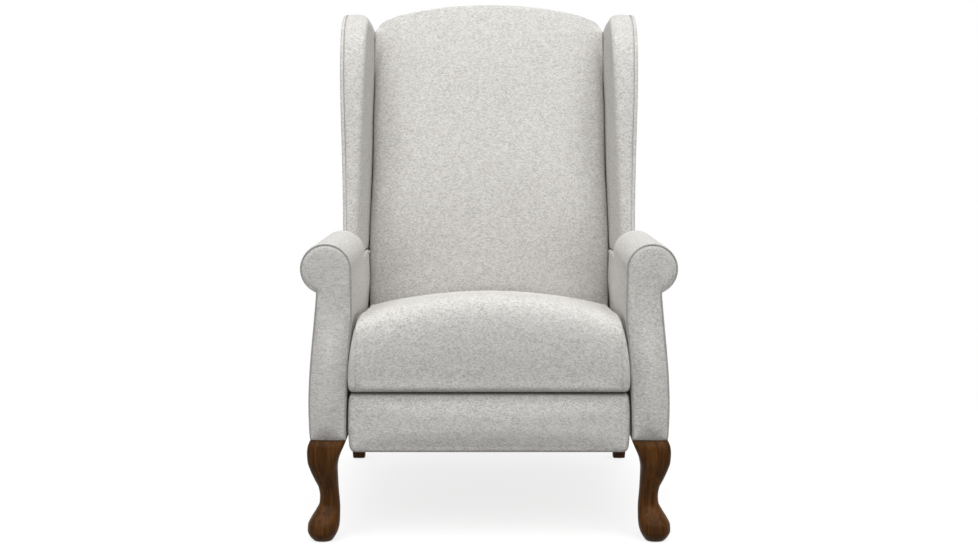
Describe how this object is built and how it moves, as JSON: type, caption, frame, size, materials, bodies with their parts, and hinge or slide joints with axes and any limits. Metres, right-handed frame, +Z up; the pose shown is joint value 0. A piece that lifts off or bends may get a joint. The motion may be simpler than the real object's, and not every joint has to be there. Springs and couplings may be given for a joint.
{
  "type": "wingback recliner",
  "caption": "High-backed wing recliner with rolled arms, a crowned seat cushion, an upholstered legrest, cabriole front legs and raked rear legs.",
  "frame": {"origin": "on the floor, under the middle of the chair's overall box", "axes": "+X across the chair to the right as seen from the front, +Y towards the rear, +Z up; the chair faces -Y"},
  "size_m": [0.7804, 0.8206, 1.1438],
  "materials": {
    "fabric": "light warm grey tweed chenille with a fine speckle, over foam",
    "walnut": "dark walnut stain, satin lacquer",
    "hardwood": "unfinished hardwood and plywood",
    "painted_steel": "black stove enamel, semi-gloss",
    "spring_steel": "oiled drawn wire",
    "webbing": "woven elastic webbing"
  },
  "bodies": {
    "base": {"front_leg_left": "walnut", "front_leg_right": "walnut", "rear_leg_left": "walnut", "rear_leg_right": "walnut", "arm_front_left": "fabric", "arm_front_right": "fabric", "arm_pad_left": "fabric", "arm_pad_right": "fabric", "side_frame_left": "hardwood", "side_frame_right": "hardwood", "outside_arm_left": "fabric", "outside_arm_right": "fabric", "rear_rail": "hardwood", "rear_cover": "fabric", "cross_rail": "hardwood", "base_plate_left": "painted_steel", "base_plate_right": "painted_steel"},
    "front_swing": {"front_swing_link_left": "painted_steel", "front_swing_link_right": "painted_steel"},
    "rear_swing": {"rear_swing_link_left": "painted_steel", "rear_swing_link_right": "painted_steel"},
    "recline_links": {"recline_link_left": "painted_steel", "recline_link_right": "painted_steel"},
    "seat": {"seat_front_rail": "hardwood", "seat_rear_rail": "hardwood", "seat_side_rail_left": "hardwood", "seat_side_rail_right": "hardwood", "seat_springs": "spring_steel", "seat_cushion": "fabric", "seat_plate_left": "painted_steel", "seat_plate_right": "painted_steel"},
    "back": {"back_post_left": "hardwood", "back_post_right": "hardwood", "back_top_rail": "hardwood", "back_bottom_rail": "hardwood", "back_webbing": "webbing", "back_cushion": "fabric", "wing_left": "fabric", "wing_right": "fabric", "outside_wing_left": "fabric", "outside_wing_right": "fabric", "outside_back": "fabric", "back_bracket_left": "painted_steel", "back_bracket_right": "painted_steel"},
    "legrest_drive": {"legrest_drive_link_left": "painted_steel", "legrest_drive_link_right": "painted_steel"},
    "legrest_guide": {"legrest_guide_link_left": "painted_steel", "legrest_guide_link_right": "painted_steel"},
    "legrest_carrier": {"legrest_carrier_left": "painted_steel", "legrest_carrier_right": "painted_steel", "carrier_cross_tube": "painted_steel", "flap_board": "hardwood", "flap_pad": "fabric"},
    "legrest_control": {"legrest_control_link_left": "painted_steel", "legrest_control_link_right": "painted_steel"},
    "legrest": {"legrest_pad": "fabric", "legrest_board": "hardwood", "legrest_bracket_left": "painted_steel", "legrest_bracket_right": "painted_steel"}
  },
  "joints": [
    {"name": "recline", "type": "hinge", "parent": "base", "child": "rear_swing", "pos_m": [0, 0.06005, 0.238], "axis": [1, 0, 0], "range_deg": [0, 40], "stiffness_Nm_per_rad": 67, "springref_deg": -6.88},
    {"name": "seat_carry", "type": "hinge", "parent": "rear_swing", "child": "seat", "pos_m": [0, 0.09152, 0.32445], "axis": [1, 0, 0], "range_deg": [-40, 0]},
    {"name": "front_swing_turn", "type": "hinge", "parent": "base", "child": "front_swing", "pos_m": [0, -0.04995, 0.238], "axis": [1, 0, 0], "range_deg": [0, 40]},
    {"name": "recline_link_turn", "type": "hinge", "parent": "base", "child": "recline_links", "pos_m": [0, 0.09875, 0.225], "axis": [1, 0, 0], "range_deg": [0, 47.8]},
    {"name": "back_tilt", "type": "hinge", "parent": "seat", "child": "back", "pos_m": [0, 0.16505, 0.335], "axis": [-1, 0, 0], "range_deg": [0, 32]},
    {"name": "legrest_open", "type": "hinge", "parent": "seat", "child": "legrest_drive", "pos_m": [0, -0.29995, 0.296], "axis": [-1, 0, 0], "range_deg": [0, 164], "stiffness_Nm_per_rad": 5, "springref_deg": -171.89},
    {"name": "carrier_fold", "type": "hinge", "parent": "legrest_drive", "child": "legrest_carrier", "pos_m": [0, -0.11671, 0.22931], "axis": [-1, 0, 0], "range_deg": [-164, 0]},
    {"name": "guide_turn", "type": "hinge", "parent": "seat", "child": "legrest_guide", "pos_m": [0, -0.33031, 0.30223], "axis": [-1, 0, 0], "range_deg": [0, 164]},
    {"name": "control_turn", "type": "hinge", "parent": "legrest_drive", "child": "legrest_control", "pos_m": [0, -0.11353, 0.21567], "axis": [-1, 0, 0], "range_deg": [-160.1, 0]},
    {"name": "legrest_tilt", "type": "hinge", "parent": "legrest_carrier", "child": "legrest", "pos_m": [0, -0.31458, 0.26992], "axis": [-1, 0, 0], "range_deg": [0, 94]}
  ],
  "couplings": [
    {"joint": "seat_carry", "follows": "recline", "ratio": -1},
    {"joint": "front_swing_turn", "follows": "recline", "ratio": 1},
    {"joint": "recline_link_turn", "follows": "recline", "ratio": 1.195},
    {"joint": "back_tilt", "follows": "recline", "ratio": 0.8},
    {"joint": "carrier_fold", "follows": "legrest_open", "ratio": -1},
    {"joint": "guide_turn", "follows": "legrest_open", "ratio": 1},
    {"joint": "control_turn", "follows": "legrest_open", "ratio": -0.97622},
    {"joint": "legrest_tilt", "follows": "legrest_open", "ratio": 0.57317}
  ]
}
